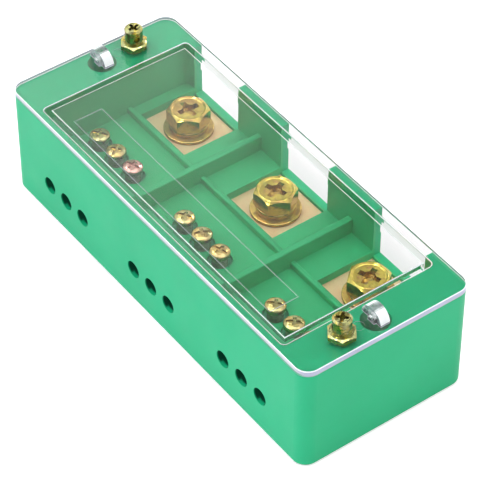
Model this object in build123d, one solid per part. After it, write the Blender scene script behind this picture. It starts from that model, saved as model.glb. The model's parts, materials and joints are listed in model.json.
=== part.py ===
from build123d import *
import math
import os

# Three-phase terminal block: one lug inlet and three wire outlets per phase, under a sealed clear cover.
# Millimetres. +X runs along the row of phases, -Y is the wire outlet side, +Z is up and z = 0 is the
# mounting face. The origin is the centre of the underside.

# Conductor block, one in each phase
WIRE_PITCH = 9.0
BLOCK_SIDE = 5.0
BLOCK_T = 10.6
HEAD_RISE = 0.6
HEAD_L = 22.0
BLOCK_EDGE = 0.6
BLOCK_FIT = 0.15
WIRE_BORE_D = 6.0
WIRE_BORE_L = 17.0
WIRE_AXIS_UP = 6.1
SCREW_FROM_FRONT = 10.0

# Moulded base
WIDTH = 60.0
WALL = 2.8
CORNER_R = 4.5
PHASE_GAP = 17.5
BAY_MARGIN = 1.9
CAVITY_DEPTH = 17.8
CAVITY_CORNER_R = 1.7
DRAFT_DEG = 0.5
FOOT_EDGE_R = 0.8
RIM_EDGE_R = 0.3
MOUTH_CHAMFER = 0.3
WIRE_HOLE_D = 5.8
TUNNEL_L = 6.2
TUNNEL_WALL = 1.5
FRONT_DECK_T = 1.2
BACK_DECK_T = 2.9
SIDE_LIP = 2.35
SILL_RISE = 1.0
WINDOW_L = 20.8
RIB_T = 1.6
RIB_RISE = 1.0
RIB_LEDGE = 0.8
PARTITION_T = 2.2
PARTITION_RISE = 5.5
TOP_EDGE_R = 0.45
BOLT_FROM_BACK = 10.8

# Fasteners. Threads are plain cylinders with a small gap to their holes.
THREAD_GAP = 0.05
BOLT_D = 8.0
BOLT_PROUD = 1.8
BOLT_AF = 12.0
BOLT_HEAD_H = 5.6
BOLT_HEX_ANGLES = (-6.0, 3.0, 10.0)
BOLT_CROSS_ANGLES = (-3.0, 21.0, 23.0)
BOLT_CROSS_W = 7.1
WASHER_D = 16.0
WASHER_BORE = 8.4
WASHER_T = 1.2
SPRING_D = 12.6
SPRING_BORE = 8.2
SPRING_T = 2.0
SPRING_SPLIT = 0.8
SPRING_ANGLES = (70.0, 200.0, 310.0)
OUTLET_D = 5.0
OUTLET_HEAD_D = 6.5
OUTLET_EDGE_H = 1.0
OUTLET_DOME_H = 1.1
OUTLET_LIFT = 3.7
OUTLET_TIP_GAP = 0.3
OUTLET_WELL_GAP = 0.6
OUTLET_ANGLES = (35.0, -55.0, 20.0, 30.0, 65.0, 15.0, 40.0, 45.0, 10.0)

# Ends: mounting holes, seal screws and their inserts
END_IN = 7.1
END_OUT = 6.5
MOUNT_HOLE_D = 5.3
MOUNT_HEAD_D = 9.0
MOUNT_SEAT_Z = 6.0
MOUNT_BOSS_WALL = 2.1
SEAL_OFFSET_Y = 12.1
SEAL_D = 4.0
SEAL_GRIP = 8.8
SEAL_HEX_AF = 8.0
SEAL_HEX_H = 1.9
SEAL_HEX_ANGLE = 24.0
SEAL_HEAD_D = 5.8
SEAL_HEAD_H = 5.3
SEAL_EYE_D = 2.0
SEAL_CROSS_ANGLES = (5.0, 45.0)
SEAL_EYE_ANGLES = (-11.0, 60.0)
INSERT_D = 6.0
INSERT_L = 8.0
INSERT_WALL = 1.9
INSERT_TEETH = 20

# Underside
CORE_WALL = 2.0
CORE_CORNER_R = 1.0
END_WALL = 2.2
FLOOR_T = 2.6
FLOOR_FIT = 0.15
FLOOR_CORNER_R = 2.0
FLOOR_SCREW_IN = 9.2
FLOOR_BOSS_D = 6.6
FLOOR_SCREW_D = 3.0
FLOOR_SCREW_L = 9.0
FLOOR_SCREW_HEAD_D = 5.6
FLOOR_SCREW_SINK = 0.2
FLOOR_CONE_H = 1.4
FLOOR_PILOT_MORE = 2.0
PAD_H = 4.4
PAD_T = 2.0
PAD_SPREAD = 16.0
PAD_IN = 4.0

# Clear cover
COVER_SEAT = 0.05
COVER_T = 2.2
COVER_EDGE_R = 0.3
SKIRT_GAP = 0.25
SKIRT_T = 2.0
SKIRT_DEPTH = 3.0
SKIRT_CORNER_R = 1.5
SKIRT_ROOT_R = 0.4
COVER_HOLE_D = 4.6
LUG_R = 4.3
LUG_T = 3.3
EYE_W = 2.9
EYE_X = 0.8
EYE_DEPTH = 2.5
EYE_H = 3.6
EYE_Z = 2.0
EYE_HOLE_D = 1.5
EJECTOR_D = 3.6
EJECTOR_DEPTH = 0.15
EJECTOR_Y = 6.1
LABEL_L = 99.0
LABEL_W = 10.0
LABEL_FROM_FRONT = 12.1
LABEL_LINE_W = 0.4
LABEL_LINE_H = 0.15

# Heights that follow from the sizes above
PLATE_BOTTOM = FLOOR_T + PAD_H
PLATE_TOP = PLATE_BOTTOM + BLOCK_T
HEAD_TOP = PLATE_TOP + HEAD_RISE
WIRE_Z = PLATE_BOTTOM + WIRE_AXIS_UP
FRONT_DECK_Z = HEAD_TOP + FRONT_DECK_T
BACK_DECK_Z = PLATE_TOP + BACK_DECK_T
SILL_Z = PLATE_TOP + SILL_RISE
RIB_Z = BACK_DECK_Z + RIB_RISE
PARTITION_Z = BACK_DECK_Z + PARTITION_RISE
BASE_H = FRONT_DECK_Z + CAVITY_DEPTH
COVER_Z = BASE_H + COVER_SEAT
COVER_TOP = COVER_Z + COVER_T

# Positions that follow from the sizes above
BLOCK_W = 2 * (WIRE_PITCH + BLOCK_SIDE)
PHASE_PITCH = BLOCK_W + PHASE_GAP
PHASE_X = (-PHASE_PITCH, 0.0, PHASE_PITCH)
WALL_X = (-PHASE_PITCH / 2, PHASE_PITCH / 2)
INNER_X = PHASE_PITCH + BLOCK_W / 2 + BAY_MARGIN
END_X = INNER_X + END_IN
LENGTH = 2 * (END_X + END_OUT)
FLOOR_L = LENGTH - 2 * WALL
FLOOR_W = WIDTH - 2 * WALL
INNER_Y = WIDTH / 2 - WALL
BLOCK_FRONT = TUNNEL_L - INNER_Y
BLOCK_BACK = INNER_Y - BLOCK_FIT
HEAD_END = BLOCK_FRONT + HEAD_L
SCREW_Y = BLOCK_FRONT + SCREW_FROM_FRONT
BOLT_Y = INNER_Y - BOLT_FROM_BACK
WINDOW_FRONT = INNER_Y - WINDOW_L
RIB_Y = WINDOW_FRONT - RIB_LEDGE - RIB_T / 2
WINDOW_W = BLOCK_W - 2 * SIDE_LIP
MOUNT_BOSS_D = MOUNT_HEAD_D + 2 * MOUNT_BOSS_WALL
OUTLETS = [(x + k * WIRE_PITCH, SCREW_Y) for x in PHASE_X for k in (-1, 0, 1)]
FLOOR_SCREW_Y = INNER_Y - FLOOR_SCREW_IN
FLOOR_SCREWS = [(x, y) for x in WALL_X for y in (-FLOOR_SCREW_Y, FLOOR_SCREW_Y)]
ENDS = {"left": -1, "right": 1}


def block(x0, x1, y0, y1, z0, z1):
    """Box between two corners."""
    return Pos((x0 + x1) / 2, (y0 + y1) / 2, (z0 + z1) / 2) * Box(x1 - x0, y1 - y0, z1 - z0)


def pad(length, width, radius, z0, z1, taper=0.0):
    """Upright plate with rounded corners, centred on the origin. A taper narrows it towards z1."""
    face = Pos(0, 0, z0) * RectangleRounded(length, width, radius)
    return extrude(face, amount=z1 - z0, taper=taper)


def rod(x, y, z0, z1, diameter):
    """Upright cylinder."""
    return Pos(x, y, (z0 + z1) / 2) * Cylinder(diameter / 2, z1 - z0)


def seal_spot(side):
    """The seal screws sit half a turn apart, on opposite corners."""
    return side * END_X, -side * SEAL_OFFSET_Y


def cross_recess(span, wing, depth, long_span=None):
    """Cutter for a cross recess from z = 0 downwards: two tapered wings and a tapered middle."""
    lean = math.degrees(math.atan(0.25 * wing / depth))
    first = extrude(Rectangle(long_span or span, wing), amount=-depth, taper=lean)
    second = extrude(Rectangle(wing, span), amount=-depth, taper=lean)
    middle = Pos(0, 0, -depth * 0.6) * Cone(wing * 0.2, span * 0.27, depth * 1.2)
    return first + second + middle


def thin_wall(length, width, z0, z1):
    """Drafted wall whose long top edges are rounded."""
    spread = 2 * (z1 - z0) * math.tan(math.radians(DRAFT_DEG))
    foot = Pos(0, 0, z0) * Rectangle(length + spread, width + spread)
    wall = extrude(foot, amount=z1 - z0, taper=DRAFT_DEG)
    axis = Axis.X if length > width else Axis.Y
    edges = wall.faces().sort_by(Axis.Z)[-1].edges().filter_by(axis)
    return fillet(edges, min(TOP_EDGE_R, 0.4 * min(length, width)))


def cavity_void():
    """Space of the three compartments: the cavity less its partitions, rib and raised back deck."""
    mouth = Pos(0, 0, BASE_H) * RectangleRounded(2 * INNER_X, 2 * INNER_Y, CAVITY_CORNER_R)
    void = extrude(mouth, amount=FRONT_DECK_Z - BASE_H, taper=DRAFT_DEG)
    lead = MOUTH_CHAMFER
    mouth = RectangleRounded(2 * (INNER_X + lead), 2 * (INNER_Y + lead), CAVITY_CORNER_R + lead)
    void += extrude(Pos(0, 0, BASE_H) * mouth, amount=-lead, taper=45)
    low = FRONT_DECK_Z - 1
    keep = block(-INNER_X, INNER_X, RIB_Y, INNER_Y, low, BACK_DECK_Z)
    keep += Pos(0, RIB_Y, 0) * thin_wall(2 * INNER_X, RIB_T, low, RIB_Z)
    for x in WALL_X:
        keep += Pos(x, 0, 0) * thin_wall(PARTITION_T, 2 * INNER_Y, low, PARTITION_Z)
    return void - keep


def inlet_void(x):
    """Lug inlet: the cut in the back wall, and the window over the clamping face of the conductor."""
    half = WINDOW_W / 2
    cut = block(x - half, x + half, INNER_Y - 1, WIDTH / 2 + 1, SILL_Z, BASE_H + 1)
    return cut + block(x - half, x + half, WINDOW_FRONT, INNER_Y, PLATE_TOP, BASE_H + 1)


def block_seat(x):
    """Pocket that the conductor block enters from below, up against the decks."""
    half = BLOCK_W / 2 + BLOCK_FIT
    step = HEAD_END + BLOCK_FIT
    seat = block(x - half, x + half, step, INNER_Y, -1, PLATE_TOP)
    return seat + block(x - half, x + half, BLOCK_FRONT - BLOCK_FIT, step, -1, HEAD_TOP)


def wire_way(x, y):
    """Wire tunnel through the front wall, and the well round its clamping screw."""
    start = -WIDTH / 2 - 1
    end = BLOCK_FRONT + 1
    tunnel = Pos(x, (start + end) / 2, WIRE_Z) * Rot(90, 0, 0) * Cylinder(WIRE_HOLE_D / 2, end - start)
    return tunnel + rod(x, y, HEAD_TOP - 1, FRONT_DECK_Z + 1, OUTLET_HEAD_D + 2 * OUTLET_WELL_GAP)


def middle_core(x):
    """Hollow between two conductor seats, round the bosses of the bottom screws."""
    span = PHASE_GAP - 2 * (BLOCK_FIT + CORE_WALL)
    roof = FRONT_DECK_Z - CORE_WALL
    core = pad(span, 2 * INNER_Y, CORE_CORNER_R, -1, roof, DRAFT_DEG)
    for y in (-FLOOR_SCREW_Y, FLOOR_SCREW_Y):
        core -= rod(0, y, FLOOR_T, roof + 1, FLOOR_BOSS_D)
    return Pos(x, 0, 0) * core


def end_core(side):
    """Hollow of one end block, round its mounting boss and insert boss."""
    inner = INNER_X + END_WALL
    outer = FLOOR_L / 2
    roof = BASE_H - CORE_WALL
    core = pad(outer - inner, 2 * INNER_Y, CORE_CORNER_R, -1, roof, DRAFT_DEG)
    core = Pos(side * (inner + outer) / 2, 0, 0) * core
    core -= rod(side * END_X, 0, -2, BASE_H, MOUNT_BOSS_D)
    x, y = seal_spot(side)
    return core - rod(x, y, BASE_H - 1.6 * INSERT_L, BASE_H, INSERT_D + 2 * INSERT_WALL)


def floor_seat():
    """Shallow recess for the bottom plate, left solid round the mounting bosses."""
    seat = pad(FLOOR_L, FLOOR_W, FLOOR_CORNER_R, -1, FLOOR_T)
    for side in ENDS.values():
        seat -= rod(side * END_X, 0, -2, FLOOR_T + 1, MOUNT_BOSS_D)
    return seat


def front_core(x):
    """Slot under the three wire tunnels of a phase."""
    back = BLOCK_FRONT - BLOCK_FIT - CORE_WALL
    roof = WIRE_Z - WIRE_HOLE_D / 2 - TUNNEL_WALL
    return block(x - BLOCK_W / 2, x + BLOCK_W / 2, -INNER_Y, back, -1, roof)


def end_holes(side):
    """Mounting hole with its deep head seat, and the seat of the threaded insert."""
    x = side * END_X
    holes = rod(x, 0, -1, BASE_H + 1, MOUNT_HOLE_D) + rod(x, 0, MOUNT_SEAT_Z, BASE_H + 1, MOUNT_HEAD_D)
    x, y = seal_spot(side)
    holes += rod(x, y, BASE_H - INSERT_L, BASE_H + 1, INSERT_D)
    return holes + rod(x, y, BASE_H - 1.4 * INSERT_L, BASE_H, SEAL_D + 4 * THREAD_GAP)


def base_housing():
    shell = pad(LENGTH, WIDTH, CORNER_R, 0, BASE_H)
    shell = fillet(shell.faces().sort_by(Axis.Z)[0].edges(), FOOT_EDGE_R)
    shell = fillet(shell.faces().sort_by(Axis.Z)[-1].edges(), RIM_EDGE_R)
    shell -= cavity_void()
    shell -= floor_seat()
    for x in PHASE_X:
        shell -= inlet_void(x) + block_seat(x)
        shell -= front_core(x)
    for x, y in OUTLETS:
        shell -= wire_way(x, y)
    for x in WALL_X:
        shell -= middle_core(x)
    for side in ENDS.values():
        shell -= end_core(side)
        shell -= end_holes(side)
    for x, y in FLOOR_SCREWS:
        depth = FLOOR_SCREW_SINK + FLOOR_SCREW_L + FLOOR_PILOT_MORE
        shell -= rod(x, y, -1, depth, FLOOR_SCREW_D + 2 * THREAD_GAP)
    return shell


def conductor_block(x):
    """Stepped bar with a threaded lug hole, three wire bores and three clamping screw holes."""
    outline = Polyline(
        (BLOCK_FRONT, PLATE_BOTTOM),
        (BLOCK_BACK, PLATE_BOTTOM),
        (BLOCK_BACK, PLATE_TOP),
        (HEAD_END, PLATE_TOP),
        (HEAD_END, HEAD_TOP),
        (BLOCK_FRONT, HEAD_TOP),
        close=True,
    )
    bar = extrude(Plane.YZ * make_face(outline), amount=BLOCK_W / 2, both=True)
    uprights = bar.edges().filter_by(Axis.Z).group_by(Axis.Y)
    bar = chamfer(uprights[0] + uprights[-1], BLOCK_EDGE)
    bar -= rod(0, BOLT_Y, PLATE_BOTTOM - 1, PLATE_TOP + 1, BOLT_D + 2 * THREAD_GAP)
    drill = Rot(90, 0, 0) * Cylinder(WIRE_BORE_D / 2, WIRE_BORE_L)
    point = Rot(-90, 0, 0) * Cone(WIRE_BORE_D / 2, 0, WIRE_BORE_D / 4)
    drill += Pos(0, WIRE_BORE_L / 2 + WIRE_BORE_D / 8, 0) * point
    for k in (-1, 0, 1):
        bar -= Pos(k * WIRE_PITCH, BLOCK_FRONT + WIRE_BORE_L / 2, WIRE_Z) * drill
        bar -= rod(k * WIRE_PITCH, SCREW_Y, WIRE_Z, HEAD_TOP + 1, OUTLET_D + 2 * THREAD_GAP)
    return Pos(x, 0, 0) * bar


def flat_washer(x):
    ring = Cylinder(WASHER_D / 2, WASHER_T) - Cylinder(WASHER_BORE / 2, WASHER_T)
    rim = ring.faces().sort_by(Axis.Z)[-1].edges().sort_by(SortBy.LENGTH)[-1]
    return Pos(x, BOLT_Y, PLATE_TOP + WASHER_T / 2) * chamfer(rim, 0.2 * WASHER_T)


def spring_washer(x, angle):
    """Split ring, flat as it is when clamped. The split runs slantwise."""
    ring = Cylinder(SPRING_D / 2, SPRING_T) - Cylinder(SPRING_BORE / 2, SPRING_T)
    split = Pos(SPRING_D / 2, 0, 0) * Rot(30, 0, 0) * Box(SPRING_D, SPRING_SPLIT, 3 * SPRING_T)
    place = Pos(x, BOLT_Y, PLATE_TOP + WASHER_T + SPRING_T / 2)
    return place * Rot(0, 0, angle) * (ring - split)


def hex_head(across, height):
    """Hexagonal prism on z = 0 whose top corners are turned down at 30 degrees."""
    prism = extrude(RegularPolygon(across / 2, 6, major_radius=False), amount=height)
    corner = across / math.sqrt(3) + 0.1
    flat = 0.46 * across
    slope = (corner - flat) * math.tan(math.radians(30))
    points = [(0, 0), (corner, 0), (corner, height - slope), (flat, height), (0, height)]
    return prism & revolve(Plane.XZ * make_face(Polyline(*points, close=True)), Axis.Z)


def inlet_bolt(x, hex_angle, cross_angle):
    """Hex bolt with a dished head and a cross recess."""
    length = WASHER_T + SPRING_T + BLOCK_T + BOLT_PROUD
    dish_r = 0.41 * BOLT_AF
    dish = Pos(0, 0, BOLT_HEAD_H) * Cone(dish_r - 0.5, dish_r, 0.5)
    bolt = Rot(0, 0, hex_angle) * (hex_head(BOLT_AF, BOLT_HEAD_H) - dish)
    recess = cross_recess(BOLT_CROSS_W, 0.26 * BOLT_CROSS_W, 0.36 * BOLT_CROSS_W)
    bolt -= Pos(0, 0, BOLT_HEAD_H) * Rot(0, 0, cross_angle) * recess
    shank = Pos(0, 0, -length / 2) * Cylinder(BOLT_D / 2, length)
    bolt += chamfer(shank.edges().sort_by(Axis.Z)[0], 0.1 * BOLT_D)
    return Pos(x, BOLT_Y, PLATE_TOP + WASHER_T + SPRING_T) * bolt


def outlet_screw(x, y, angle):
    """Crowned clamping screw with a slot and a cross, partly run into the conductor block."""
    length = OUTLET_LIFT + HEAD_TOP - WIRE_Z - WIRE_BORE_D / 2 - OUTLET_TIP_GAP
    top = OUTLET_EDGE_H + OUTLET_DOME_H
    crown = Cone(OUTLET_HEAD_D / 2, 0.32 * OUTLET_HEAD_D, OUTLET_DOME_H)
    crown = Pos(0, 0, OUTLET_EDGE_H + OUTLET_DOME_H / 2) * crown
    screw = rod(0, 0, 0, OUTLET_EDGE_H, OUTLET_HEAD_D) + crown
    screw += chamfer(rod(0, 0, -length, 0, OUTLET_D).edges().sort_by(Axis.Z)[0], 0.08 * OUTLET_D)
    recess = cross_recess(0.62 * OUTLET_HEAD_D, 0.15 * OUTLET_HEAD_D, 0.7 * top, 0.84 * OUTLET_HEAD_D)
    screw -= Pos(0, 0, top) * recess
    return Pos(x, y, HEAD_TOP + OUTLET_LIFT) * Rot(0, 0, angle) * screw


def sealing_screw(side, cross_angle, eye_angle):
    """Cover screw: hexagonal foot, round head with a cross recess and a hole for the seal wire."""
    foot = Rot(0, 0, SEAL_HEX_ANGLE) * hex_head(SEAL_HEX_AF, SEAL_HEX_H)
    top = SEAL_HEX_H + SEAL_HEAD_H
    head = rod(0, 0, 0, top, SEAL_HEAD_D)
    head = chamfer(head.edges().sort_by(Axis.Z)[-1], 0.1 * SEAL_HEAD_D)
    eye = Pos(0, 0, SEAL_HEX_H + 0.42 * SEAL_HEAD_H) * Rot(0, 0, eye_angle) * Rot(0, 90, 0)
    head -= eye * Cylinder(SEAL_EYE_D / 2, 2 * SEAL_HEAD_D)
    recess = cross_recess(0.62 * SEAL_HEAD_D, 0.17 * SEAL_HEAD_D, 0.3 * SEAL_HEAD_H)
    head -= Pos(0, 0, top) * Rot(0, 0, cross_angle) * recess
    length = COVER_SEAT + COVER_T + SEAL_GRIP
    shank = chamfer(rod(0, 0, -length, 0, SEAL_D).edges().sort_by(Axis.Z)[0], 0.12 * SEAL_D)
    x, y = seal_spot(side)
    return Pos(x, y, COVER_TOP) * (foot + head + shank)


def threaded_insert(side):
    """Knurled sleeve, pressed into the end block: two toothed bands with a plain groove between."""
    outer = INSERT_D / 2 - THREAD_GAP
    steps = 2 * INSERT_TEETH
    radii = [outer - 0.25 * (i % 2) for i in range(steps)]
    turns = [2 * math.pi * i / steps for i in range(steps)]
    star = [(r * math.cos(a), r * math.sin(a)) for r, a in zip(radii, turns)]
    band = 0.38 * INSERT_L
    sleeve = rod(0, 0, -INSERT_L, 0, 2 * outer - 1.0)
    for start in (-INSERT_L, -band):
        sleeve += extrude(Pos(0, 0, start) * make_face(Polyline(*star, close=True)), amount=band)
    sleeve -= rod(0, 0, -INSERT_L - 1, 1, SEAL_D + 2 * THREAD_GAP)
    x, y = seal_spot(side)
    return Pos(x, y, BASE_H) * sleeve


def bottom_plate():
    """Closing plate with two ribs under each conductor block, notched round the mounting bosses."""
    plate = pad(FLOOR_L - 2 * FLOOR_FIT, FLOOR_W - 2 * FLOOR_FIT, FLOOR_CORNER_R - FLOOR_FIT, 0, FLOOR_T)
    for side in ENDS.values():
        plate -= rod(side * END_X, 0, -1, FLOOR_T + 1, MOUNT_BOSS_D + 2 * FLOOR_FIT)
    for x in PHASE_X:
        for middle in (x - PAD_SPREAD / 2, x + PAD_SPREAD / 2):
            sides = (middle - PAD_T / 2, middle + PAD_T / 2, BLOCK_FRONT + PAD_IN, BLOCK_BACK - PAD_IN)
            plate += block(*sides, FLOOR_T, PLATE_BOTTOM)
    for x, y in FLOOR_SCREWS:
        plate -= Pos(x, y, 0) * countersink(THREAD_GAP)
    return plate


def countersink(gap):
    """Countersunk screw form from the underside up; the gap grows it into the hole of that screw."""
    head_r = FLOOR_SCREW_HEAD_D / 2 + gap
    thread_r = FLOOR_SCREW_D / 2 + gap
    start = FLOOR_SCREW_SINK + gap
    form = Pos(0, 0, start + FLOOR_CONE_H / 2) * Cone(head_r, thread_r, FLOOR_CONE_H)
    form += rod(0, 0, start, FLOOR_SCREW_SINK + FLOOR_SCREW_L, 2 * thread_r)
    if gap:
        form += rod(0, 0, -1, start, 2 * head_r)
    return form


def bottom_screw(x, y):
    recess = cross_recess(0.55 * FLOOR_SCREW_HEAD_D, 0.15 * FLOOR_SCREW_HEAD_D, 0.28 * FLOOR_SCREW_HEAD_D)
    return Pos(x, y, 0) * (countersink(0.0) - Pos(0, 0, FLOOR_SCREW_SINK) * Rot(180, 0, 0) * recess)


def seal_lug(x):
    """Half-round fin on the cover with a thicker pad in front, bored for the seal wire."""
    fin = Rot(90, 0, 0) * Cylinder(LUG_R, LUG_T)
    fin &= block(-LUG_R, LUG_R, -LUG_T, LUG_T, 0, LUG_R)
    fin += block(EYE_X - EYE_W / 2, EYE_X + EYE_W / 2, -EYE_DEPTH, 0, 0, EYE_H)
    fin -= Pos(EYE_X, 0, EYE_Z) * Rot(90, 0, 0) * Cylinder(EYE_HOLE_D / 2, 4 * EYE_DEPTH)
    return Pos(x, 0, COVER_TOP) * fin


def label_frame():
    """Low raised line that outlines the marking strip."""
    half = LABEL_LINE_W / 2
    frame = Rectangle(LABEL_L + half, LABEL_W + half) - Rectangle(LABEL_L - half, LABEL_W - half)
    return Pos(0, LABEL_FROM_FRONT - WIDTH / 2, COVER_TOP) * extrude(frame, amount=LABEL_LINE_H)


def clear_cover():
    """Clear plate whose skirt drops into the cavity; a small radius joins the two."""
    plate = pad(LENGTH, WIDTH, CORNER_R, COVER_Z, COVER_TOP)
    x = INNER_X - SKIRT_GAP
    y = INNER_Y - SKIRT_GAP
    skirt = pad(2 * x, 2 * y, SKIRT_CORNER_R, COVER_Z - SKIRT_DEPTH, COVER_Z)
    skirt -= block(SKIRT_T - x, x - SKIRT_T, SKIRT_T - y, y - SKIRT_T, 0, COVER_Z)
    cover = plate + skirt
    level = cover.edges().filter_by_position(Axis.Z, COVER_Z - 0.01, COVER_Z + 0.01)
    roots = [e for e in level if abs(e.center().X) < INNER_X and abs(e.center().Y) < INNER_Y]
    cover = fillet(roots, SKIRT_ROOT_R)
    cover = fillet(cover.faces().sort_by(Axis.Z)[-1].edges(), COVER_EDGE_R)
    for side in ENDS.values():
        cover += seal_lug(side * END_X)
        x, y = seal_spot(side)
        cover -= rod(x, y, BASE_H - 1, COVER_TOP + 1, COVER_HOLE_D)
        cover -= rod(x, -side * EJECTOR_Y, COVER_TOP - EJECTOR_DEPTH, COVER_TOP + 1, EJECTOR_D)
    return cover + label_frame()


def save(shape, node):
    export_step(shape, f"parts/{node}.step")


os.makedirs("parts", exist_ok=True)
save(base_housing(), "base_housing")
save(clear_cover(), "clear_cover")
save(bottom_plate(), "bottom_plate")
for number, x in enumerate(PHASE_X, 1):
    save(conductor_block(x), f"conductor_block_{number}")
    save(flat_washer(x), f"flat_washer_{number}")
    save(spring_washer(x, SPRING_ANGLES[number - 1]), f"spring_washer_{number}")
    save(inlet_bolt(x, BOLT_HEX_ANGLES[number - 1], BOLT_CROSS_ANGLES[number - 1]), f"inlet_bolt_{number}")
for number, (x, y) in enumerate(OUTLETS, 1):
    save(outlet_screw(x, y, OUTLET_ANGLES[number - 1]), f"outlet_screw_{number}")
for number, (x, y) in enumerate(FLOOR_SCREWS, 1):
    save(bottom_screw(x, y), f"bottom_screw_{number}")
for number, (name, side) in enumerate(ENDS.items()):
    save(threaded_insert(side), f"threaded_insert_{name}")
    save(sealing_screw(side, SEAL_CROSS_ANGLES[number], SEAL_EYE_ANGLES[number]), f"sealing_screw_{name}")
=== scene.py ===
import json
import math
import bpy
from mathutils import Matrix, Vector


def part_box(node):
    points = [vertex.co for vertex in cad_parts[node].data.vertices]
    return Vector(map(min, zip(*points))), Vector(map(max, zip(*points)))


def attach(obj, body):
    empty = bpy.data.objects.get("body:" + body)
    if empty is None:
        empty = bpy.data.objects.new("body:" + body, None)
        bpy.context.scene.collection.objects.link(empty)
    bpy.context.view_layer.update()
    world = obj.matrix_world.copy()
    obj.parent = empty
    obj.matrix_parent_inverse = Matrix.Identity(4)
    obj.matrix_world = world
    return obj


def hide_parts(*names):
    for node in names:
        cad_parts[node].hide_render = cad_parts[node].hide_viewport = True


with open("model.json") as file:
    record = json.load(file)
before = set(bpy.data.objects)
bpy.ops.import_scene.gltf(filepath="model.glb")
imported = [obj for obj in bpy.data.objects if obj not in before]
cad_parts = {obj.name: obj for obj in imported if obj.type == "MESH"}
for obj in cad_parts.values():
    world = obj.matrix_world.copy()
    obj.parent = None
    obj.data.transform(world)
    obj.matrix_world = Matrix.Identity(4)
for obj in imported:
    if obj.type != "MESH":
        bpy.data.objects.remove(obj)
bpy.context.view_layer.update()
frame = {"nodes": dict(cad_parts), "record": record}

from types import SimpleNamespace

import bpy
from mathutils import Matrix, Vector

MM = 0.001

# Camera, fitted to the edges of the block: place and viewing angles
EYE = (0.4470, -0.3245, 0.5571)
AZIMUTH = math.radians(53.77)
ELEVATION = math.radians(44.45)
FOCAL_MM = 192.1
SENSOR_MM = 36.0
CLIP_START = 0.01

# Heights of the cover plate and the wires, front face, pitch of the phases, place of the bolts,
# heights of the seams at their washers, and height under the outlet heads, as in the CAD
COVER_Z = 37.25 * MM
COVER_TOP = 39.45 * MM
WIRE_Z = 13.1 * MM
FRONT_Y = -30.0 * MM
PHASE_PITCH = 45.5 * MM
BOLT_Y = 16.4 * MM
WASHER_GAPS = (17.6 * MM, 18.8 * MM, 20.8 * MM)
HEAD_FOOT_Z = 21.9 * MM

# Widths over which a mask fades from none to full
SHARP = 0.1 * MM
SOFT = 0.2 * MM
WIDE = 1.0 * MM

# Limits of the masks on the base and the copper, for the warmer inside and the painted shade down the tunnels
# and wells; a pair is where a mask is off and where it is full
CAVITY = (73.0 * MM, 28.0 * MM, 37.0 * MM)
TUNNEL_R = 3.1 * MM
TUNNEL_X = 70.0 * MM
TUNNEL_END_Y = -5.0 * MM
MOUTH_Y = (FRONT_Y + 0.05 * MM, FRONT_Y + 0.60 * MM)
DEEP_Y = (FRONT_Y + 0.9 * MM, FRONT_Y + 1.6 * MM)
WELL_Y = (3.0 * MM, 1.0 * MM)

# Limits of the masks on the yellow zinc, for its own tints and its painted shade and reflections, and how
# near a seam gets painted shade
OUTLET_BACK_Y = -4.0 * MM
PINK_SCREW = (-36.5 * MM, -11.0 * MM)
PINK_REACH = 4.0 * MM
BOLT_ZONE = (-9.0 * MM, -8.5 * MM)
FIRST_BOLT_X = (-42.0 * MM, -49.0 * MM)
RECESS_Z = 25.88 * MM
RECESS_REACH = 4.0 * MM
SEAM = (0.28 * MM, 0.10 * MM)

# Masks on the cover: skirts seen through it, heights over its plate and under it for its painted highlights,
# and strengths of the painted highlight on the raised lines and of the painted glow
FAR_SKIRT_Y = 23.0 * MM
LEFT_SKIRT_X = -57.0 * MM
RIM_Z = COVER_Z - 0.04 * MM
LINE_Z = (COVER_TOP + 0.05 * MM, COVER_TOP + 0.12 * MM)
LUG_Z = COVER_TOP + 0.20 * MM
ROOT_Z = COVER_Z - 0.60 * MM
BACK_Z = COVER_Z - 0.45 * MM
FOOT_FRONT = 0.95 * MM
FOOT_END = 0.45 * MM
FOOT_FADE = 0.25 * MM
LINE_HIGHLIGHT = 0.24
# Painted glow of the root curves and of the rim
ROOT_PAINTED_GLOW = 0.55
EDGE_PAINTED_GLOW = 0.12

# Outlet screws: head, shank and thread, with the turn of each slot in degrees
HEAD_R = 3.25 * MM
HEAD_EDGE = 1.0 * MM
HEAD_DOME = 1.1 * MM
HEAD_BEVEL = 0.12 * MM
OUTLET_R = 2.5 * MM
OUTLET_L = 5.5 * MM
OUTLET_PITCH = 0.8 * MM
SLOT_W = 0.36 * HEAD_R
SLOT_L = 1.84 * HEAD_R
SLOT_SHARE = 0.34
CROSS_L = 1.26 * HEAD_R
CROSS_SHARE = 0.32
SLOT_ANGLES = (35.0, -55.0, 20.0, 30.0, 65.0, 15.0, 40.0, 45.0, 10.0)

# Threads: depth and fading out at the tip and at the head as shares of the pitch, rings in each turn
THREAD_DEPTH = 0.54
TIP_FADE = 0.5
TOP_FADE = 0.4
THREAD_STEPS = 8

# Sides of the turned bodies, steps in a dome and in a rounded edge, and the turn in degrees from
# which an edge stays sharp
SCREW_SIDES = 48
BOLT_SIDES = 96
DOME_STEPS = 10
EDGE_STEPS = 6
SHARP_TURN = 32.0

# How far cutters and joined bodies reach past the faces that they meet
CUTTER_OVER = 0.3 * MM
BODY_OVER = 0.5 * MM

# Inlet bolts: hexagon, recess, shank and thread, with the turns in degrees
BOLT_AF = 12.0 * MM
BOLT_HEAD = 5.6 * MM
BOLT_R = 4.0 * MM
BOLT_PITCH = 1.25 * MM
BOLT_CROSS = 7.1 * MM
CROSS_SLIM = 0.26 * BOLT_CROSS
CROSS_MIDDLE = 0.54 * BOLT_CROSS
CROSS_DEPTH = 1.9 * MM
MIDDLE_DEPTH = 2.2 * MM
RECESS_TOP = BOLT_HEAD - 0.42 * MM
HEX_ANGLES = (-6.0, 3.0, 10.0)
CROSS_ANGLES = (-3.0, 21.0, 23.0)

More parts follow.
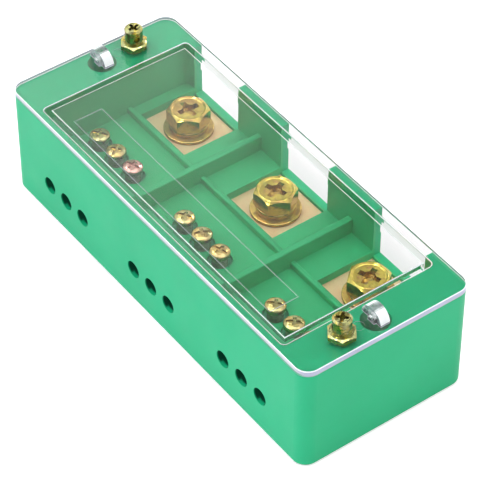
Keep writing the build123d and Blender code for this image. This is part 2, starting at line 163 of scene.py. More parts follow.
# Bolt head: its foot by height, and its top from the turned corners over the rim into the dish by
# depth, each with a share of half the width across flats
HEAD_FOOT = ((0.0, 1.05), (0.25 * MM, 1.16))
HEAD_PROFILE = (
    (1.05 * MM, 1.16), (0.22 * MM, 0.97), (0.08 * MM, 0.945), (0.0, 0.92), (0.0, 0.90),
    (0.08 * MM, 0.88), (0.40 * MM, 0.83), (0.48 * MM, 0.79), (0.44 * MM, 0.40), (0.42 * MM, 0.10),
)

# Washers under the inlet bolts: outside, bore, rounding of the edges, and the split with its lean
# and turns in degrees
WASHER_D = 16.0 * MM
WASHER_BORE = 8.4 * MM
WASHER_EDGE = 0.40 * MM
SPRING_D = 12.6 * MM
SPRING_BORE = 8.2 * MM
SPRING_EDGE = 0.50 * MM
SPRING_SPLIT = 0.8 * MM
SPLIT_TOP = 2.7 * MM
SPLIT_DEPTH = 5.7 * MM
SPLIT_LEAN = 30.0
SPRING_ANGLES = (70.0, 200.0, 310.0)

# Colours, linear
GREEN = (0.012, 0.520, 0.226)
GREEN_DEEP = (0.009, 0.480, 0.206)
GREEN_INSIDE = (0.034, 0.515, 0.195)
# Painted shade down the wire tunnels
TUNNEL_PAINTED_SHADE = (0.004, 0.080, 0.040)
CLEAR = (0.990, 0.995, 0.995)
# Painted highlight of the cover's rim, lugs, raised lines and root curves: white, grey on the lugs, violet on
# the right end
HIGHLIGHT_WHITE = (0.610, 0.610, 0.660)
LUG_HIGHLIGHT = (0.400, 0.450, 0.450)
HIGHLIGHT_VIOLET = (0.480, 0.500, 0.680)
# Painted green of the base at the foot of the cover's rim
FOOT_PAINTED_GREEN = (0.100, 0.500, 0.280)
COPPER = (1.000, 0.760, 0.420)
COPPER_DARK = (0.980, 0.640, 0.320)
# Painted green shade down the wells under the outlet screws
WELL_PAINTED_SHADE = (0.060, 0.420, 0.190)
OLIVE = (0.600, 0.600, 0.260)
# Painted shade in the bolt recesses
RECESS_PAINTED_BROWN = (0.600, 0.430, 0.170)
# Painted reflection of the copper on the washers
WASHER_COPPER_REFLECTION = (0.820, 0.450, 0.140)
# Beige tone of the outlet heads, and a greenish tone that differs from screw to screw
DULL_BEIGE = (0.760, 0.540, 0.260)
GREENISH = (0.600, 0.640, 0.280)
# Painted shade and reflection of the green on the outlet screw stems
STEM_PAINTED_SHADE = (0.150, 0.420, 0.200)
GOLD = (0.930, 0.720, 0.120)
GOLD_GREEN = (0.820, 0.780, 0.200)
# Also laid on the first bolt as a painted pink reflection
GOLD_PINK = (0.920, 0.500, 0.170)
PINK = (0.860, 0.480, 0.400)
ZINC = (0.620, 0.630, 0.650)
ZINC_DARK = (0.500, 0.510, 0.540)
BRASS = (0.700, 0.520, 0.240)

# Refraction of the cover, and of its far and left skirts, which hardly bend the light
CLEAR_IOR = 1.49
FAR_SKIRT_IOR = 1.02

# Floor: half its side, height, colour, and what it adds for the camera and through the cover
FLOOR_HALF = 3.0
FLOOR_Z = -0.2 * MM
FLOOR_TINT = (0.76, 0.70, 0.73)
FLOOR_LIFT = 0.48
FLOOR_LIFT_THROUGH = 0.10

# Light of the sky: an even surround, and discs over it, each with the azimuth and elevation of
# its middle, the angles where it is full and where it has faded out, in degrees, and its colour
SURROUND = (0.91, 0.91, 0.91)
OVERHEAD = (0.0, 90.0, 12.0, 40.0, (2.75, 2.75, 2.75))
COOL_FRONT = (-105.0, 25.0, 25.0, 60.0, (1.34, 1.38, 1.66))
DIM_BEHIND_CAMERA = (-46.0, 44.0, 10.0, 38.0, (0.30, 0.30, 0.30))
DIM_BACK = (133.0, 50.0, 12.0, 26.0, (0.22, 0.22, 0.22))
SOFTBOX_LEFT = (160.0, 30.0, 13.0, 23.0, (1.22, 1.22, 1.20))
LAMPS = (
    (-92.0, 62.0, 5.0, 7.0, (15.0, 15.0, 14.5)),
    (215.0, 58.0, 4.0, 6.0, (11.0, 11.0, 10.5)),
    (50.0, 62.0, 3.0, 5.0, (9.0, 9.0, 9.0)),
    (108.0, 32.0, 3.0, 5.0, (14.0, 14.0, 13.5)),
    (180.0, 56.0, 3.0, 5.0, (12.0, 12.0, 11.5)),
)


class Nodes:
    """Short hand for building one material's nodes."""

    def __init__(self, name):
        self.material = bpy.data.materials.new(name)
        self.material.use_nodes = True
        self.tree = self.material.node_tree
        self.tree.nodes.clear()
        self.out = self.tree.nodes.new("ShaderNodeOutputMaterial")
        self.shader = self.tree.nodes.new("ShaderNodeBsdfPrincipled")
        self.link(self.shader, "BSDF", self.out, "Surface")
        self.place = self.tree.nodes.new("ShaderNodeTexCoord")
        self.geometry = self.tree.nodes.new("ShaderNodeNewGeometry")

    def link(self, source, output, target, socket):
        self.tree.links.new(source.outputs[output], target.inputs[socket])

    def feed(self, value, socket):
        """Links an output to an input socket of the shader."""
        self.tree.links.new(value, self.shader.inputs[socket])

    def set(self, **values):
        for socket, value in values.items():
            self.shader.inputs[socket.replace("_", " ")].default_value = value

    def stretch(self, scale):
        """Object coordinates, squeezed by a scale along each axis."""
        node = self.tree.nodes.new("ShaderNodeMapping")
        node.inputs["Scale"].default_value = scale
        self.link(self.place, "Object", node, "Vector")
        return node, "Vector"

    def noise(self, scale, detail=3.0, roughness=0.5, source=None):
        """Noise on object coordinates, or on another node's output."""
        node = self.tree.nodes.new("ShaderNodeTexNoise")
        node.inputs["Scale"].default_value = scale
        node.inputs["Detail"].default_value = detail
        node.inputs["Roughness"].default_value = roughness
        self.link(*(source or (self.place, "Object")), node, "Vector")
        return node

    def split(self, output):
        """The three coordinates of the place or of the face normal."""
        node = self.tree.nodes.new("ShaderNodeSeparateXYZ")
        self.link(self.geometry, output, node, "Vector")
        return [node.outputs[axis] for axis in "XYZ"]

    def math(self, operation, *values):
        node = self.tree.nodes.new("ShaderNodeMath")
        node.operation = operation
        for socket, value in zip(node.inputs, values):
            if isinstance(value, float):
                socket.default_value = value
            else:
                self.tree.links.new(value, socket)
        return node.outputs[0]

    def times(self, first, *others):
        """Product of masks and numbers."""
        for other in others:
            first = self.math("MULTIPLY", first, other)
        return first

    def most(self, first, *others):
        """Largest of some masks."""
        for other in others:
            first = self.math("MAXIMUM", first, other)
        return first

    def rest(self, mask, share=None):
        """What a mask, or a share of it, leaves of one."""
        return self.math("SUBTRACT", 1.0, mask if share is None else self.times(mask, share))

    def lift(self, mask, span, base):
        """A mask brought to a range that starts at a base."""
        return self.math("ADD", self.times(mask, span), base)

    def size(self, value):
        return self.math("ABSOLUTE", value)

    def band(self, value, off, full):
        """Smooth step from 0 at the first value to 1 at the second."""
        node = self.tree.nodes.new("ShaderNodeMapRange")
        node.interpolation_type = "SMOOTHSTEP"
        node.inputs["From Min"].default_value = off
        node.inputs["From Max"].default_value = full
        self.tree.links.new(value, node.inputs["Value"])
        return node.outputs["Result"]

    def patches(self, scale, off, full, detail=2.0):
        """Soft patches of a noise."""
        return self.band(self.noise(scale, detail).outputs["Fac"], off, full)

    def blend(self, mask, first, second, socket="Base Color"):
        """Mixes a colour, or what feeds a colour, with another by a mask, into a socket of the shader."""
        node = self.tree.nodes.new("ShaderNodeMix")
        node.data_type = "RGBA"
        self.tree.links.new(mask, node.inputs["Factor"])
        for side, value in (("A", first), ("B", second)):
            if isinstance(value, tuple):
                node.inputs[side].default_value = (*value, 1.0)
            else:
                self.tree.links.new(value, node.inputs[side])
        self.feed(node.outputs["Result"], socket)
        return node.outputs["Result"]

    def ramp(self, source, stops, socket):
        """Colour ramp from a noise to a colour socket of the shader."""
        node = self.tree.nodes.new("ShaderNodeValToRGB")
        elements = node.color_ramp.elements
        while len(elements) < len(stops):
            elements.new(0.5)
        for element, (at, colour) in zip(elements, stops):
            element.position = at
            element.color = (*colour, 1.0)
        self.link(source, "Fac", node, "Fac")
        self.link(node, "Color", self.shader, socket)
        return node.outputs["Color"]

    def spread(self, source, low, high, socket):
        """Maps a noise to a range of a plain socket of the shader."""
        node = self.tree.nodes.new("ShaderNodeMapRange")
        node.inputs["From Min"].default_value = 0.3
        node.inputs["From Max"].default_value = 0.7
        node.inputs["To Min"].default_value = low
        node.inputs["To Max"].default_value = high
        self.link(source, "Fac", node, "Value")
        self.link(node, "Result", self.shader, socket)

    def bump(self, source, height, strength):
        """Bump from a noise, with a strength that is a number or a mask."""
        node = self.tree.nodes.new("ShaderNodeBump")
        if isinstance(strength, float):
            node.inputs["Strength"].default_value = strength
        else:
            self.tree.links.new(strength, node.inputs["Strength"])
        node.inputs["Distance"].default_value = height
        self.link(source, "Fac", node, "Height")
        self.link(node, "Normal", self.shader, "Normal")


def moulded_green():
    """Moulded plastic, warmer inside the cavity and with painted shade down the wire tunnels."""
    n = Nodes("moulded_green")
    green = n.ramp(n.noise(28.0, 4.0), [(0.35, GREEN_DEEP), (0.65, GREEN)], "Base Color")
    x, y, z = n.split("Position")
    up = n.split("True Normal")[2]

    hollow = [n.band(n.size(at), limit, limit - SOFT) for at, limit in zip((x, y, z), CAVITY)]
    green = n.blend(n.times(*hollow), green, GREEN_INSIDE)

    # Painted shade down the wire tunnels, full deep inside them
    level = n.band(n.size(n.math("SUBTRACT", z, WIRE_Z)), 1.15 * TUNNEL_R, 1.05 * TUNNEL_R)
    inside = n.band(n.size(x), TUNNEL_X, TUNNEL_X - WIDE)
    wall = n.times(n.band(y, *MOUTH_Y), n.rest(n.band(up, 0.78, 0.95)))
    depth = n.most(wall, n.band(y, *DEEP_Y))
    front = n.band(y, TUNNEL_END_Y, TUNNEL_END_Y - WIDE)
    n.blend(n.times(level, inside, depth, front), green, TUNNEL_PAINTED_SHADE)

    n.spread(n.noise(90.0), 0.34, 0.42, "Roughness")
    n.bump(n.noise(2600.0, 2.0), 0.02 * MM, 0.35)
    n.set(Specular_IOR_Level=0.32)
    return n.material


def cover_zones(n):
    """Masks for the painted highlights of the cover, the painted green at the foot of its rim and the skirts
    seen through it.
    """
    x, y, z = n.split("Position")
    across, along, up = n.split("True Normal")
    up = n.size(up)

    # Places of the painted highlight: rim sides, lug tops, raised lines and root curves
    side = n.times(n.band(up, 0.60, 0.30), n.band(z, RIM_Z, COVER_Z), n.band(z, LUG_Z + SHARP, LUG_Z))
    above = n.band(z, LUG_Z, LUG_Z + SHARP)
    line = n.times(n.band(z, *LINE_Z), LINE_HIGHLIGHT)
    curve = n.times(n.band(up, 0.05, 0.15), n.band(up, 0.98, 0.93))
    root = n.times(curve, n.band(z, ROOT_Z, ROOT_Z + SHARP))

    # Painted green of the base at the rim's foot, lower on the right end
    heights = [n.band(z, COVER_Z + height, COVER_Z + height - FOOT_FADE) for height in (FOOT_FRONT, FOOT_END)]
    foot = n.most(n.times(heights[0], n.rest(n.band(across, 0.30, 0.80))), heights[1])
    foot = n.times(side, foot, n.band(along, 0.6, 0.3), n.band(across, -0.6, -0.3))

    far = n.band(y, FAR_SKIRT_Y, FAR_SKIRT_Y + WIDE)
    left = n.band(x, LEFT_SKIRT_X, LEFT_SKIRT_X - WIDE)
    back = n.times(n.most(far, left), n.band(z, BACK_Z, BACK_Z - SHARP))
    return SimpleNamespace(side=side, above=above, line=line, root=root, foot=foot, back=back,
                           right=n.band(across, 0.0, 0.8))


def clear_plastic():
    """Clear body; its rim, seal lugs, raised lines and root curves are matt and whitish as a painted
    highlight, with a painted glow on the rim and root curves, painted violet on the rim's right end and
    painted green of the base at its foot.
    """
    n = Nodes("clear_plastic")
    zone = cover_zones(n)
    n.set(Base_Color=(*CLEAR, 1.0), Transmission_Weight=1.0)
    n.feed(n.math("SUBTRACT", CLEAR_IOR, n.times(zone.back, CLEAR_IOR - FAR_SKIRT_IOR)), "IOR")
    n.spread(n.noise(60.0), 0.0, 0.02, "Roughness")
    n.bump(n.noise(18.0, 1.0), 0.02 * MM, 0.20)

    clear = n.shader
    # Second shader: the matt whitish painted highlight
    n.shader = n.tree.nodes.new("ShaderNodeBsdfPrincipled")
    n.set(Roughness=0.35, IOR=CLEAR_IOR, Transmission_Weight=0.25)
    tint = n.blend(zone.right, HIGHLIGHT_WHITE, HIGHLIGHT_VIOLET)
    tint = n.blend(zone.above, tint, LUG_HIGHLIGHT)
    n.blend(zone.foot, tint, FOOT_PAINTED_GREEN)
    edge = n.math("SUBTRACT", zone.side, zone.foot)
    # Painted glow along the root curves and, weaker, on the rim above its foot
    n.feed(n.most(n.times(zone.root, ROOT_PAINTED_GLOW), n.times(edge, EDGE_PAINTED_GLOW)), "Emission Strength")

    # Painted highlight on the lugs, in patches
    lug = n.times(zone.above, n.patches(330.0, 0.20, 0.75))
    mix = n.tree.nodes.new("ShaderNodeMixShader")
    n.tree.links.new(n.most(zone.side, lug, zone.line, zone.root), mix.inputs["Fac"])
    n.tree.links.new(clear.outputs["BSDF"], mix.inputs[1])
    n.tree.links.new(n.shader.outputs["BSDF"], mix.inputs[2])
    n.link(mix, "Shader", n.out, "Surface")
    return n.material


def copper():
    """Milled copper, with painted green shade down the wells under the outlet screws."""
    n = Nodes("milled_copper")
    lines = n.noise(1.0, 4.0, 0.6, n.stretch((60.0, 2400.0, 800.0)))
    tint = n.ramp(n.noise(150.0, 5.0, 0.6), [(0.30, COPPER_DARK), (0.60, COPPER)], "Base Color")
    # Painted green shade down the wells under the outlet screws
    n.blend(n.band(n.split("Position")[1], *WELL_Y), tint, WELL_PAINTED_SHADE)
    n.spread(lines, 0.36, 0.52, "Roughness")
    n.bump(lines, 0.01 * MM, 0.30)
    n.set(Metallic=0.05)
    return n.material


def zinc_zones(n, x, y, z, up):
    """Masks for the places where the yellow zinc has its own tints, painted shade, painted reflections and
    painted highlights.
    """
    over = n.band(z, COVER_TOP - SOFT, COVER_TOP)
    near = [n.band(n.size(n.math("SUBTRACT", at, screw)), PINK_REACH + SOFT, PINK_REACH)
            for at, screw in zip((x, y), PINK_SCREW)]

    beside = n.math("WRAP", x, PHASE_PITCH / 2, -PHASE_PITCH / 2)
    aside = n.math("SUBTRACT", y, BOLT_Y)
    reach = n.math("SQRT", n.math("ADD", n.times(beside, beside), n.times(aside, aside)))
    # Bolt recesses, which get painted shade
    pit = n.times(n.band(reach, RECESS_REACH + SOFT, RECESS_REACH), n.band(z, RECESS_Z, RECESS_Z - SHARP))
    bolts = n.band(aside, *BOLT_ZONE)
    # First bolt, which gets a painted pink reflection
    first = n.times(n.band(x, *FIRST_BOLT_X), bolts, n.rest(n.most(over, pit)))
    # Washers, which get a painted reflection of the copper in patches
    washers = n.times(n.band(z, WASHER_GAPS[2] + SOFT, WASHER_GAPS[2]), bolts)
    # Washer tops, kept out of the painted wall shade
    ring = n.times(n.band(z, WASHER_GAPS[2], WASHER_GAPS[2] - SHARP), bolts, n.band(up, 0.25, 0.50))

    outlet = n.times(n.band(y, OUTLET_BACK_Y, OUTLET_BACK_Y - WIDE), n.rest(over))
    # Stems under the outlet heads, which get painted shade
    stem = n.times(outlet, n.band(z, HEAD_FOOT_Z, HEAD_FOOT_Z - SOFT))
    heads = n.most(over, n.times(outlet, n.band(z, HEAD_FOOT_Z - SOFT, HEAD_FOOT_Z)))
    return SimpleNamespace(over=over, pink=n.times(*near), pit=pit, first=first, washers=washers, ring=ring,
                           outlet=outlet, stem=stem, heads=heads)


def zinc_tint(n, zone, tint):
    """Tints of the yellow zinc, each colour laid over those before it: its own tones, painted shade and
    painted reflections.
    """
    beige_patches = n.times(n.lift(n.patches(420.0, 0.35, 0.60), 0.5, 0.35), n.rest(zone.pink))
    greenish_patches = n.band(n.noise(150.0, 2.0, 0.5, (n.geometry, "Position")).outputs["Fac"], 0.45, 0.58)
    layers = (
        (n.times(zone.over, n.patches(420.0, 0.30, 0.55)), OLIVE),
        (zone.pink, PINK),
        # Painted shade in the bolt recesses
        (n.times(zone.pit, 0.8), RECESS_PAINTED_BROWN),
        # Painted reflection of the copper on the washers, in patches
        (n.times(zone.washers, n.patches(330.0, 0.30, 0.60), 0.7), WASHER_COPPER_REFLECTION),
        # Beige and greenish tones on the outlet heads
        (n.times(zone.outlet, beige_patches), DULL_BEIGE),
        (n.times(zone.outlet, beige_patches, greenish_patches, 0.8), GREENISH),
        # Painted shade and green reflection on the stems
        (n.times(zone.stem, 0.9), STEM_PAINTED_SHADE),
        # Painted pink reflection on the first bolt
        (n.times(zone.first, 0.55), GOLD_PINK),
    )
    for mask, colour in layers:
        tint = n.blend(mask, tint, colour)
    return tint


def plated(name, colours, rough, top=0.5, side=0.95, zoned=False):
    """Bright metal of drifting tint; its walls carry painted shade and are more mirror-like than its tops,
    and it has painted shade under the outlet heads and in the seams between the washers.
    """
    n = Nodes(name)
    stops = [(0.30 + 0.4 * i / (len(colours) - 1), c) for i, c in enumerate(colours)]
    tint = n.ramp(n.noise(240.0, 3.0, 0.55), stops, "Base Color")
    x, y, z = n.split("Position")
    up = n.split("True Normal")[2]

    outlet = n.band(y, OUTLET_BACK_Y, OUTLET_BACK_Y - WIDE)
    shank = n.times(outlet, n.band(z, HEAD_FOOT_Z, HEAD_FOOT_Z - SOFT))
    # Painted shade: walls darker than tops, and the stems under the outlet heads a little darker
    shade = n.times(n.lift(n.band(up, 0.1, 0.8), 0.45, 0.55), n.rest(shank, 0.2))
    metal = n.lift(n.band(up, 0.3, 0.9), top - side, side)
    if zoned:
        zone = zinc_zones(n, x, y, z, up)
        tint = zinc_tint(n, zone, tint)
        # Recesses and washer tops are kept out of the painted wall shade
        shade = n.most(shade, zone.pit, zone.ring)
        metal = n.math("MINIMUM", n.math("ADD", metal, n.times(zone.over, 0.4)), 0.95)
        metal = n.times(metal, n.rest(zone.stem, 0.8))
        n.bump(n.noise(520.0, 2.0), 0.40 * MM, n.lift(zone.heads, 0.60, 0.02))
    else:
        n.bump(n.noise(800.0, 3.0), 0.03 * MM, 0.25)

    shade = n.times(shade, n.lift(n.patches(900.0, 0.25, 0.60, 3.0), 0.35, 0.65))
    # Painted shade in the seams between the washers
    for height in WASHER_GAPS:
        seam = n.band(n.size(n.math("SUBTRACT", z, height)), *SEAM)
        shade = n.times(shade, n.rest(n.times(seam, n.band(up, 0.8, 0.5)), 0.75))
    dim = n.tree.nodes.new("ShaderNodeVectorMath")
    dim.operation = "SCALE"
    n.tree.links.new(tint, dim.inputs[0])
    n.tree.links.new(shade, dim.inputs["Scale"])
    n.link(dim, "Vector", n.shader, "Base Color")
    n.feed(metal, "Metallic")
    n.spread(n.noise(500.0, 3.0), rough - 0.05, rough + 0.06, "Roughness")
    return n.material


GREEN_PLASTIC = moulded_green()
FINISHES = {
    "green_plastic": GREEN_PLASTIC,
    "floor_plastic": GREEN_PLASTIC,
    "clear_plastic": clear_plastic(),
    "copper": copper(),
    "yellow_zinc": plated("yellow_zinc", (GOLD_PINK, GOLD, GOLD, GOLD_GREEN), 0.14, top=0.6, zoned=True),
    "bright_zinc": plated("bright_zinc", (ZINC, ZINC_DARK, ZINC), 0.30),
    "brass": plated("turned_brass", (BRASS, GOLD, BRASS), 0.28),
}


def dress_nodes():
    """Gives every CAD node the finish of its record slot."""
    for entry in frame["record"]["subparts"]:
        node = frame["nodes"][entry["node"]]
        node.data.materials.clear()
        node.data.materials.append(FINISHES[entry["material_slot"]])


def ring_mesh(name, rings, sides):
    """Closed turned body. Each ring is a height and a function from angle to radius."""
    turns = [2 * math.pi * k / sides for k in range(sides)]
    points = [(reach(t) * math.cos(t), reach(t) * math.sin(t), z) for z, reach in rings for t in turns]
    faces = [
        (i * sides + k, i * sides + (k + 1) % sides, (i + 1) * sides + (k + 1) % sides, (i + 1) * sides + k)
        for i in range(len(rings) - 1)
        for k in range(sides)
    ]
    faces.append(tuple(reversed(range(sides))))
    faces.append(tuple((len(rings) - 1) * sides + k for k in range(sides)))
    mesh = bpy.data.meshes.new(name)
    mesh.from_pydata(points, [], faces)
    return mesh


def loop_mesh(name, outer, bore, half, edge, sides=BOLT_SIDES):
    """Turned ring as far below z = 0 as above it, whose outer edges are rounded."""
    profile = [(bore, -half)]
    for z, start in ((edge - half, -90.0), (half - edge, 0.0)):
        for k in range(EDGE_STEPS + 1):
            t = math.radians(start + 90.0 / EDGE_STEPS * k)
            profile.append((outer - edge + edge * math.cos(t), z + edge * math.sin(t)))
    profile.append((bore, half))
    turns = [2 * math.pi * k / sides for k in range(sides)]
    points = [(r * math.cos(t), r * math.sin(t), z) for r, z in profile for t in turns]
    faces = [
        (i * sides + k, i * sides + (k + 1) % sides, j * sides + (k + 1) % sides, j * sides + k)
        for i, j in zip(range(len(profile)), [*range(1, len(profile)), 0])
        for k in range(sides)
    ]
    mesh = bpy.data.meshes.new(name)
    mesh.from_pydata(points, [], faces)
    return mesh


def wing(length, width, top, depth, shares=(0.72, 1.05)):
    """Cutter for one wing of a recess, narrower at the bottom unless told otherwise."""
    points = []
    for z, share in zip((top - depth, top + CUTTER_OVER), shares):
        x, y = 0.5 * length * share, 0.5 * width * share
        points += [(-x, -y, z), (x, -y, z), (x, y, z), (-x, y, z)]
    faces = [(3, 2, 1, 0), (4, 5, 6, 7), (0, 1, 5, 4), (1, 2, 6, 5), (2, 3, 7, 6), (3, 0, 4, 7)]
    mesh = bpy.data.meshes.new("wing")
    mesh.from_pydata(points, [], faces)
    return mesh


def carve(body, steps, name):
    """Body after a row of boolean steps, each a mesh and an operation, as a new mesh."""
    scene = bpy.context.scene
    objects = [bpy.data.objects.new(name, mesh) for mesh in (body, *[mesh for mesh, operation in steps])]
    for obj in objects:
        scene.collection.objects.link(obj)
    for tool, (mesh, operation) in zip(objects[1:], steps):
        step = objects[0].modifiers.new("step", "BOOLEAN")
        step.object = tool
        step.operation = operation
        step.solver = "EXACT"
    seen = objects[0].evaluated_get(bpy.context.evaluated_depsgraph_get())
    mesh = bpy.data.meshes.new_from_object(seen)
    for obj in objects:
        bpy.data.objects.remove(obj)
    mesh.name = name
    mesh.shade_smooth()
    mesh.set_sharp_from_angle(angle=math.radians(SHARP_TURN))
    mesh.materials.clear()
    mesh.materials.append(FINISHES["yellow_zinc"])
    return mesh


def thread_rings(radius, length, pitch):
    """Rings of a vee thread from the tip up to just under the head, fading out at both ends."""
    depth = THREAD_DEPTH * pitch

    def around(z):
        fade = max(0.0, min(1.0, (z + length) / (TIP_FADE * pitch), -z / (TOP_FADE * pitch)))

        def reach(turn):
            phase = (z / pitch - turn / (2 * math.pi)) % 1.0
            return radius - depth * (1.0 - fade * (1.0 - abs(2.0 * phase - 1.0)))

        return reach

    step = pitch / THREAD_STEPS
    heights = [step * i - length for i in range(math.floor(length / step))]
    return [(z, around(z)) for z in heights] + [(0.0, around(0.0))]


def plain_rings(profile):
    return [(z, lambda turn, r=r: r) for z, r in profile]


def turned(mesh, angle):
    mesh.transform(Matrix.Rotation(math.radians(angle), 4, "Z"))
    return mesh


def outlet_screw_mesh():
    """Domed head with a slot and a cross over a threaded shank; z = 0 is under the head."""
    profile = [(0.0, HEAD_R - HEAD_BEVEL), (HEAD_BEVEL, HEAD_R)]
    for k in range(DOME_STEPS):
        t = math.radians(90.0 / DOME_STEPS * k)
        profile.append((HEAD_EDGE + HEAD_DOME * math.sin(t), HEAD_R * math.cos(t)))
    rings = thread_rings(OUTLET_R, OUTLET_L, OUTLET_PITCH) + plain_rings(profile)
    top = HEAD_EDGE + HEAD_DOME
    slot = wing(SLOT_L, SLOT_W, top, SLOT_SHARE * top)
    cross = wing(SLOT_W, CROSS_L, top, CROSS_SHARE * top)
    body = ring_mesh("screw_body", rings, SCREW_SIDES)
    return carve(body, [(slot, "DIFFERENCE"), (cross, "DIFFERENCE")], "outlet_screw")


def inlet_bolt_mesh(length, hex_angle, cross_angle):
    """Hexagon with turned corners, a round rim and a dish, a cross recess and a threaded shank."""
    half = BOLT_AF / 2
    profile = [(height, share * half) for height, share in HEAD_FOOT]
    profile += [(BOLT_HEAD - depth, share * half) for depth, share in HEAD_PROFILE]
    corner = BOLT_AF / math.sqrt(3)
    hexagon = ring_mesh("hexagon", plain_rings([(-BODY_OVER, corner), (BOLT_HEAD + BODY_OVER, corner)]), 6)
    root = plain_rings([(BODY_OVER, 0.8 * BOLT_R)])
    shank = ring_mesh("shank", thread_rings(BOLT_R, length, BOLT_PITCH) + root, SCREW_SIDES)
    steps = [(turned(hexagon, hex_angle), "INTERSECT"), (shank, "UNION")]
    for along, across, depth, turn in (
        (BOLT_CROSS, CROSS_SLIM, CROSS_DEPTH, cross_angle),
        (CROSS_SLIM, BOLT_CROSS, CROSS_DEPTH, cross_angle),
        (CROSS_MIDDLE, CROSS_MIDDLE, MIDDLE_DEPTH, cross_angle + 45.0),
    ):
        steps.append((turned(wing(along, across, RECESS_TOP, depth), turn), "DIFFERENCE"))
    return carve(ring_mesh("bolt_body", plain_rings(profile), BOLT_SIDES), steps, "inlet_bolt")


def middle(low, high):
    """Middle of a box."""
    return tuple((a + b) / 2 for a, b in zip(low, high))


def stand_for(node, mesh, place, angle=0.0):
    """Object with a finer mesh in the place of a CAD node."""
    obj = bpy.data.objects.new(f"fine_{node}", mesh)
    obj.location = place
    obj.rotation_euler = (0.0, 0.0, math.radians(angle))
    bpy.context.scene.collection.objects.link(obj)
    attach(obj, "root")
    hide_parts(node)


def outlet_screws():
    """Each outlet screw where the CAD has it, with its thread shown."""
    mesh = outlet_screw_mesh()
    for number, angle in enumerate(SLOT_ANGLES, 1):
        node = f"outlet_screw_{number}"
        low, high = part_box(node)
        stand_for(node, mesh, (*middle(low, high)[:2], high[2] - HEAD_EDGE - HEAD_DOME), angle)


def inlet_bolts():
    """Each inlet bolt where the CAD has it, with its thread, rim and dish shown."""
    for number, angles in enumerate(zip(HEX_ANGLES, CROSS_ANGLES), 1):
        node = f"inlet_bolt_{number}"
        low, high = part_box(node)
        mesh = inlet_bolt_mesh(high[2] - BOLT_HEAD - low[2], *angles)
        stand_for(node, mesh, (*middle(low, high)[:2], high[2] - BOLT_HEAD))


def bolt_washers():
    """The flat and the split washer of each inlet bolt, with the edges rounded."""
    for number, angle in enumerate(SPRING_ANGLES, 1):
        node = f"flat_washer_{number}"
        low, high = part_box(node)
        ring = loop_mesh("washer_body", WASHER_D / 2, WASHER_BORE / 2, (high[2] - low[2]) / 2, WASHER_EDGE)
        place = middle(low, high)
        stand_for(node, carve(ring, [], "flat_washer"), place)

        node = f"spring_washer_{number}"
        low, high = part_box(node)
        ring = loop_mesh("spring_body", SPRING_D / 2, SPRING_BORE / 2, (high[2] - low[2]) / 2, SPRING_EDGE)
        split = wing(SPRING_D, SPRING_SPLIT, SPLIT_TOP, SPLIT_DEPTH, (1.0, 1.0))
        lean = Matrix.Rotation(math.radians(SPLIT_LEAN), 4, "X")
        split.transform(Matrix.Translation((SPRING_D / 2, 0.0, 0.0)) @ lean)
        mesh = turned(carve(ring, [(split, "DIFFERENCE")], "spring_washer"), angle)
        stand_for(node, mesh, (*place[:2], middle(low, high)[2]))


def floor_white():
    """Pale floor, lifted for the camera and a little where it is seen through the cover."""
    material = bpy.data.materials.new("floor_white")
    material.use_nodes = True
    tree = material.node_tree
    tree.nodes.clear()
    out = tree.nodes.new("ShaderNodeOutputMaterial")
    add = tree.nodes.new("ShaderNodeAddShader")
    diffuse = tree.nodes.new("ShaderNodeBsdfDiffuse")
    diffuse.inputs["Color"].default_value = (*FLOOR_TINT, 1.0)
    lift = tree.nodes.new("ShaderNodeEmission")
    lift.inputs["Color"].default_value = (1.0, 1.0, 1.0, 1.0)
    path = tree.nodes.new("ShaderNodeLightPath")
    through = tree.nodes.new("ShaderNodeMath")
    through.operation = "MULTIPLY"
    through.inputs[1].default_value = FLOOR_LIFT_THROUGH
    tree.links.new(path.outputs["Is Transmission Ray"], through.inputs[0])
    scale = tree.nodes.new("ShaderNodeMath")
    scale.operation = "MULTIPLY_ADD"
    scale.inputs[1].default_value = FLOOR_LIFT
    tree.links.new(path.outputs["Is Camera Ray"], scale.inputs[0])
    tree.links.new(through.outputs[0], scale.inputs[2])
    tree.links.new(scale.outputs[0], lift.inputs["Strength"])
    tree.links.new(diffuse.outputs[0], add.inputs[0])
    tree.links.new(lift.outputs[0], add.inputs[1])
    tree.links.new(add.outputs[0], out.inputs["Surface"])
    return material


def floor():
    """One wide square just under the block."""
    mesh = bpy.data.meshes.new("floor")
    corners = [(x * FLOOR_HALF, y * FLOOR_HALF, FLOOR_Z) for x, y in ((-1, -1), (1, -1), (1, 1), (-1, 1))]
    mesh.from_pydata(corners, [], [(0, 1, 2, 3)])
    mesh.materials.append(floor_white())
    obj = bpy.data.objects.new("floor", mesh)
    bpy.context.scene.collection.objects.link(obj)


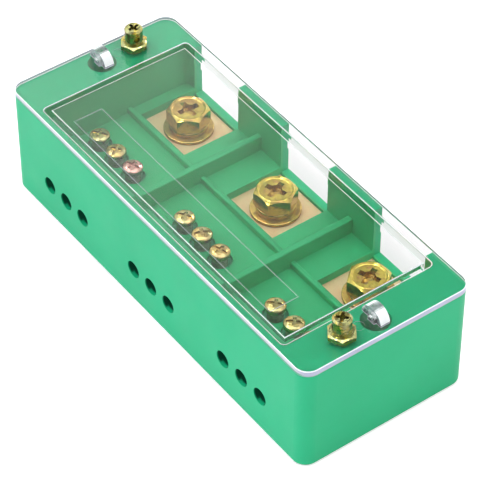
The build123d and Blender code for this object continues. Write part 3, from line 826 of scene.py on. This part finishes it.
class Sky:
    """World light built from soft-edged discs of colour on an even surround."""

    def __init__(self, surround, lights):
        world = bpy.data.worlds.new("studio")
        bpy.context.scene.world = world
        world.use_nodes = True
        self.tree = world.node_tree
        self.tree.nodes.clear()
        self.place = self.tree.nodes.new("ShaderNodeTexCoord")
        mixes = [self.disc(*light) for light in lights]
        mixes[0].inputs["A"].default_value = (*surround, 1.0)
        for under, over in zip(mixes, mixes[1:]):
            self.tree.links.new(under.outputs["Result"], over.inputs["A"])
        self.finish(mixes[-1].outputs["Result"])

    def disc(self, azimuth, elevation, full, none, colour):
        """Full colour inside one angle from the disc's middle, none beyond the next, in degrees."""
        az, el = math.radians(azimuth), math.radians(elevation)
        dot = self.tree.nodes.new("ShaderNodeVectorMath")
        dot.operation = "DOT_PRODUCT"
        dot.inputs[1].default_value = (math.cos(az) * math.cos(el), math.sin(az) * math.cos(el), math.sin(el))
        self.tree.links.new(self.place.outputs["Generated"], dot.inputs[0])
        fade = self.tree.nodes.new("ShaderNodeMapRange")
        fade.interpolation_type = "SMOOTHSTEP"
        fade.inputs["From Min"].default_value = math.cos(math.radians(none))
        fade.inputs["From Max"].default_value = math.cos(math.radians(full))
        self.tree.links.new(dot.outputs["Value"], fade.inputs["Value"])
        mix = self.tree.nodes.new("ShaderNodeMix")
        mix.data_type = "RGBA"
        mix.inputs["B"].default_value = (*colour, 1.0)
        self.tree.links.new(fade.outputs["Result"], mix.inputs["Factor"])
        return mix

    def finish(self, colour):
        """Studio light for the object, plain white where the camera looks past it."""
        out = self.tree.nodes.new("ShaderNodeOutputWorld")
        studio = self.tree.nodes.new("ShaderNodeBackground")
        self.tree.links.new(colour, studio.inputs["Color"])
        white = self.tree.nodes.new("ShaderNodeBackground")
        white.inputs["Color"].default_value = (1.0, 1.0, 1.0, 1.0)
        path = self.tree.nodes.new("ShaderNodeLightPath")
        mix = self.tree.nodes.new("ShaderNodeMixShader")
        self.tree.links.new(path.outputs["Is Camera Ray"], mix.inputs["Fac"])
        self.tree.links.new(studio.outputs[0], mix.inputs[1])
        self.tree.links.new(white.outputs[0], mix.inputs[2])
        self.tree.links.new(mix.outputs[0], out.inputs["Surface"])


def camera():
    data = bpy.data.cameras.new("camera")
    data.lens = FOCAL_MM
    data.sensor_width = SENSOR_MM
    data.clip_start = CLIP_START
    obj = bpy.data.objects.new("camera", data)
    obj.location = EYE
    level = math.cos(ELEVATION)
    forward = Vector((-math.sin(AZIMUTH) * level, math.cos(AZIMUTH) * level, -math.sin(ELEVATION)))
    obj.rotation_euler = forward.to_track_quat("-Z", "Y").to_euler()
    bpy.context.scene.collection.objects.link(obj)
    bpy.context.scene.camera = obj


dress_nodes()
outlet_screws()
inlet_bolts()
bolt_washers()
floor()
Sky(SURROUND, (OVERHEAD, COOL_FRONT, DIM_BEHIND_CAMERA, DIM_BACK, SOFTBOX_LEFT, *LAMPS))
camera()
bpy.context.scene.view_settings.view_transform = "Standard"
